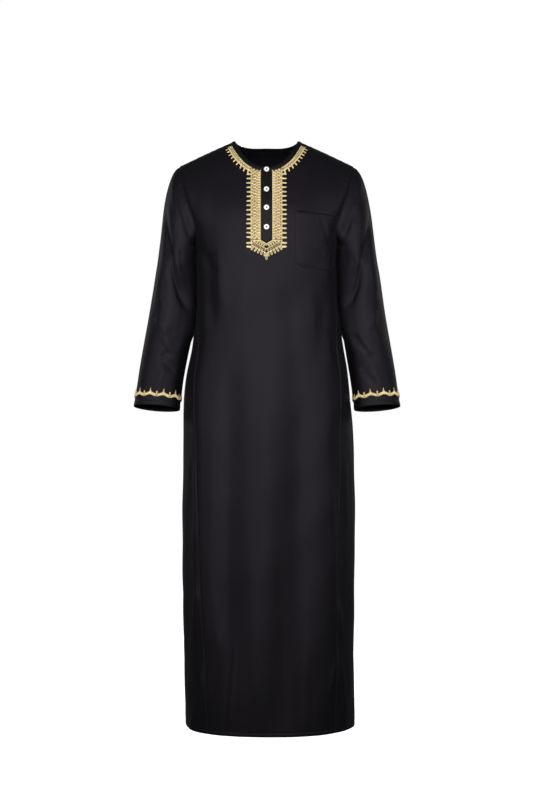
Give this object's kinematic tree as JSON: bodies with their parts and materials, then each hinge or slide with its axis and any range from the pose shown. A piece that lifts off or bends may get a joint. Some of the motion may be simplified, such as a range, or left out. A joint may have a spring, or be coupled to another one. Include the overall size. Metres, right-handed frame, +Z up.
{
  "type": "thobe",
  "caption": "Ankle-length men's thobe, hollow as worn, with long sleeves, gold-embroidered neck, placket and cuffs, and a chest pocket.",
  "frame": {"origin": "midway between the two points where the shoulder seams meet the neck", "axes": "+Z up, -Y out of the garment's front, +X to the wearer's left"},
  "size_m": [0.639, 0.3291, 1.405],
  "materials": {
    "cloth": "black suiting, fine twill with a soft sheen",
    "gold_thread": "satin-stitched rayon thread",
    "button": "gloss"
  },
  "bodies": {
    "root": {"front_panel": "cloth", "back_panel": "cloth", "side_panel_right": "cloth", "side_panel_left": "cloth", "sleeve_right": "cloth", "sleeve_left": "cloth", "neck_binding": "cloth", "placket": "cloth", "chest_pocket": "cloth", "neck_embroidery_right": "gold_thread", "neck_embroidery_left": "gold_thread", "strip_embroidery_right": "gold_thread", "strip_embroidery_left": "gold_thread", "point_embroidery": "gold_thread", "cuff_embroidery_right": "gold_thread", "cuff_embroidery_left": "gold_thread", "button_1": "button", "button_2": "button", "button_3": "button", "button_4": "button"}
  },
  "joints": []
}
